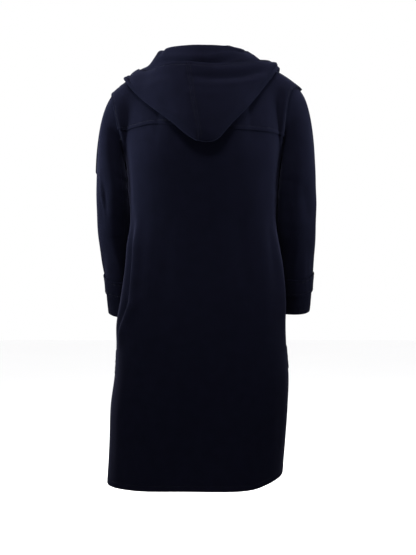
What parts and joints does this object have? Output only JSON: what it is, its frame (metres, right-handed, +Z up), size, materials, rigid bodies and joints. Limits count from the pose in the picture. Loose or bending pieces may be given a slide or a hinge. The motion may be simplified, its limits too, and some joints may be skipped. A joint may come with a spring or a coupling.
{
  "type": "duffle coat",
  "caption": "Long navy wool duffle coat in the hollow shape of wear, with its hood down, yoked shoulders, patch pockets and toggles on cord loops.",
  "frame": {"origin": "middle of the neck opening, level with the neck seam at the shoulders, where the wearer's shoulders hold the coat up", "axes": "+X to the wearer's left, +Y behind the wearer, +Z up"},
  "size_m": [0.5659, 0.3309, 1.0989],
  "materials": {
    "wool": "milled wool with a short nap, matte, faintly bluish where light grazes it",
    "leather": "satin",
    "cord": "twisted, matte",
    "horn": "polished imitation horn"
  },
  "bodies": {
    "root": {"back_panel": "wool", "cuff_button_left": "horn", "cuff_button_right": "horn", "cuff_strap_left": "wool", "cuff_strap_right": "wool", "flap_left": "wool", "flap_right": "wool", "front_left": "wool", "front_right": "wool", "holder_1": "cord", "holder_2": "cord", "holder_3": "cord", "holder_4": "cord", "hood_left": "wool", "hood_right": "wool", "loop_1": "cord", "loop_2": "cord", "loop_3": "cord", "loop_4": "cord", "patch_left_1": "leather", "patch_left_2": "leather", "patch_left_3": "leather", "patch_left_4": "leather", "patch_right_1": "leather", "patch_right_2": "leather", "patch_right_3": "leather", "patch_right_4": "leather", "pocket_left": "wool", "pocket_right": "wool", "sleeve_under_left": "wool", "sleeve_under_right": "wool", "sleeve_upper_left": "wool", "sleeve_upper_right": "wool", "toggle_1": "horn", "toggle_2": "horn", "toggle_3": "horn", "toggle_4": "horn", "yoke_back": "wool", "yoke_front_left": "wool", "yoke_front_right": "wool"}
  },
  "joints": []
}
